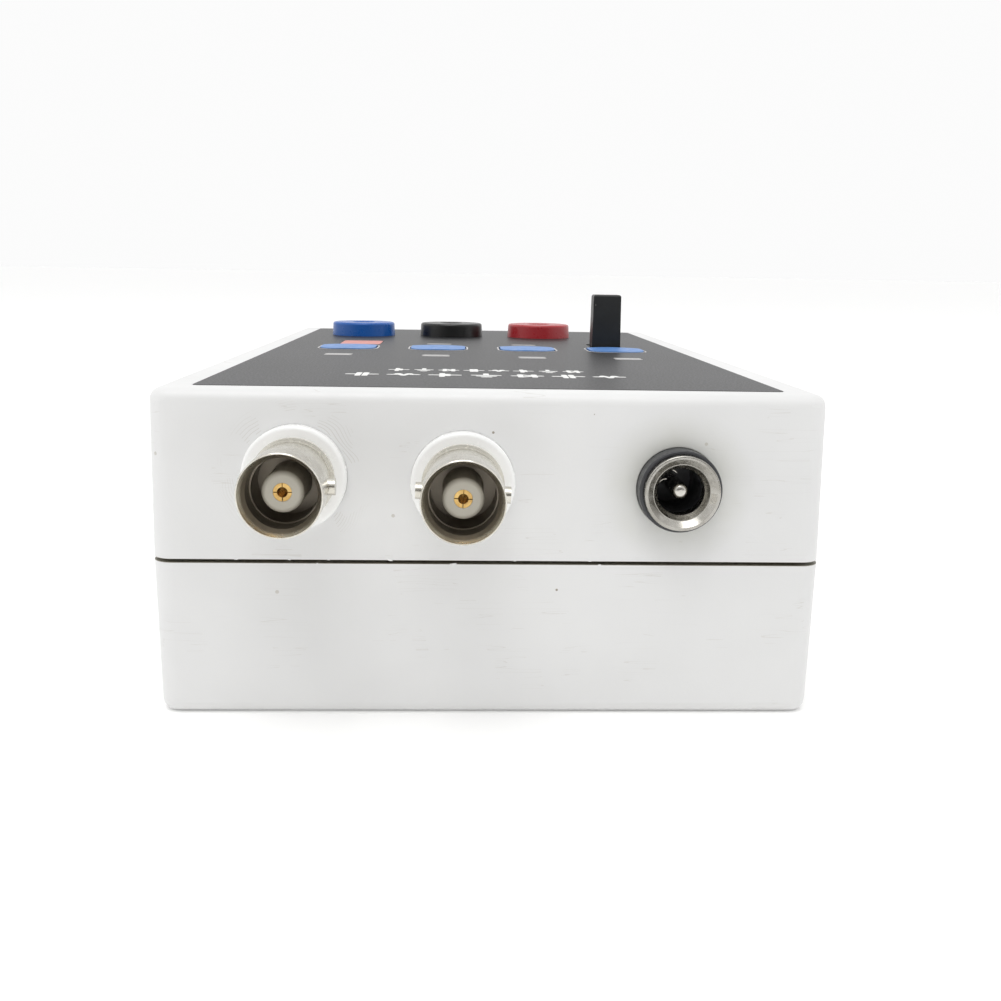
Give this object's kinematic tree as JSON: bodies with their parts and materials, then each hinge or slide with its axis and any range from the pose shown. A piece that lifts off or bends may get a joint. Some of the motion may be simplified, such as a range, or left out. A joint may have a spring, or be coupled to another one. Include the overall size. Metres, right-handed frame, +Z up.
{
  "type": "component curve tester",
  "caption": "Pocket bench tester in a two-part white case with coaxial outputs and a power inlet on one end and test sockets, keys and a power slide switch on a dark panel.",
  "frame": {"origin": "centre of the underside of the case", "axes": "+Z up out of the control panel, -Y out of the end with the coaxial outputs, +X to the right seen from that end"},
  "size_m": [0.083, 0.1552, 0.0509],
  "materials": {
    "case_white": "fine satin moulded ABS",
    "collar_white": "smooth white moulding",
    "label_graphite": "fine-textured film, dark graphite",
    "key_blue": "satin blue",
    "window_red": "translucent red",
    "socket_blue": "moulded polyamide, blue",
    "socket_black": "moulded polyamide, black",
    "socket_red": "moulded polyamide, red",
    "black_plastic": "satin black",
    "nickel": "satin nickel plating",
    "tinned_steel": "tinned sheet",
    "screw_steel": "zinc plated",
    "gold": "gold plating",
    "insulator_white": "off-white fluoropolymer",
    "board_green": "solder-masked fibreglass",
    "capacitor_sleeve": "shrink sleeve",
    "relay_case": "moulded case",
    "resistor_body": "lacquered",
    "lead_insulation": "flexible insulation"
  },
  "bodies": {
    "case": {"board_screws": "screw_steel", "bottom_shell": "case_white", "case_screws": "screw_steel", "coax_ground_tags": "tinned_steel", "coax_left_collar": "collar_white", "coax_left_contact": "gold", "coax_left_insulator": "insulator_white", "coax_left_shell": "nickel", "coax_nuts": "nickel", "coax_right_collar": "collar_white", "coax_right_contact": "gold", "coax_right_insulator": "insulator_white", "coax_right_shell": "nickel", "coax_washers": "insulator_white", "crystal": "tinned_steel", "electrolytic_capacitors": "capacitor_sleeve", "indicator_lamp": "window_red", "indicator_window": "window_red", "integrated_circuits": "black_plastic", "jack_body": "black_plastic", "jack_nut": "nickel", "jack_pin": "nickel", "jack_sleeve": "nickel", "jack_tags": "tinned_steel", "main_board": "board_green", "output_leads": "lead_insulation", "overlay_label": "label_graphite", "power_leads": "lead_insulation", "range_resistors": "resistor_body", "signal_relays": "relay_case", "socket_black_body": "socket_black", "socket_black_contact": "nickel", "socket_blue_body": "socket_blue", "socket_blue_contact": "nickel", "socket_leads": "lead_insulation", "socket_nuts": "nickel", "socket_red_body": "socket_red", "socket_red_contact": "nickel", "switch_base": "black_plastic", "switch_frame": "tinned_steel", "tact_switches": "black_plastic", "top_shell": "case_white", "voltage_regulator": "black_plastic"},
    "power_lever": {"power_lever": "black_plastic"},
    "key_1": {"key_1": "key_blue", "key_plunger_1": "black_plastic"},
    "key_2": {"key_2": "key_blue", "key_plunger_2": "black_plastic"},
    "key_3": {"key_3": "key_blue", "key_plunger_3": "black_plastic"},
    "key_4": {"key_4": "key_blue", "key_plunger_4": "black_plastic"}
  },
  "joints": [
    {"name": "power_slide", "type": "slide", "parent": "case", "child": "power_lever", "axis": [0, 1, 0], "range_m": [0, 0.004]},
    {"name": "key_1_press", "type": "slide", "parent": "case", "child": "key_1", "axis": [0, 0, -1], "range_m": [0, 0.00035], "stiffness_N_per_m": 3000},
    {"name": "key_2_press", "type": "slide", "parent": "case", "child": "key_2", "axis": [0, 0, -1], "range_m": [0, 0.00035], "stiffness_N_per_m": 3000},
    {"name": "key_3_press", "type": "slide", "parent": "case", "child": "key_3", "axis": [0, 0, -1], "range_m": [0, 0.00035], "stiffness_N_per_m": 3000},
    {"name": "key_4_press", "type": "slide", "parent": "case", "child": "key_4", "axis": [0, 0, -1], "range_m": [0, 0.00035], "stiffness_N_per_m": 3000}
  ]
}
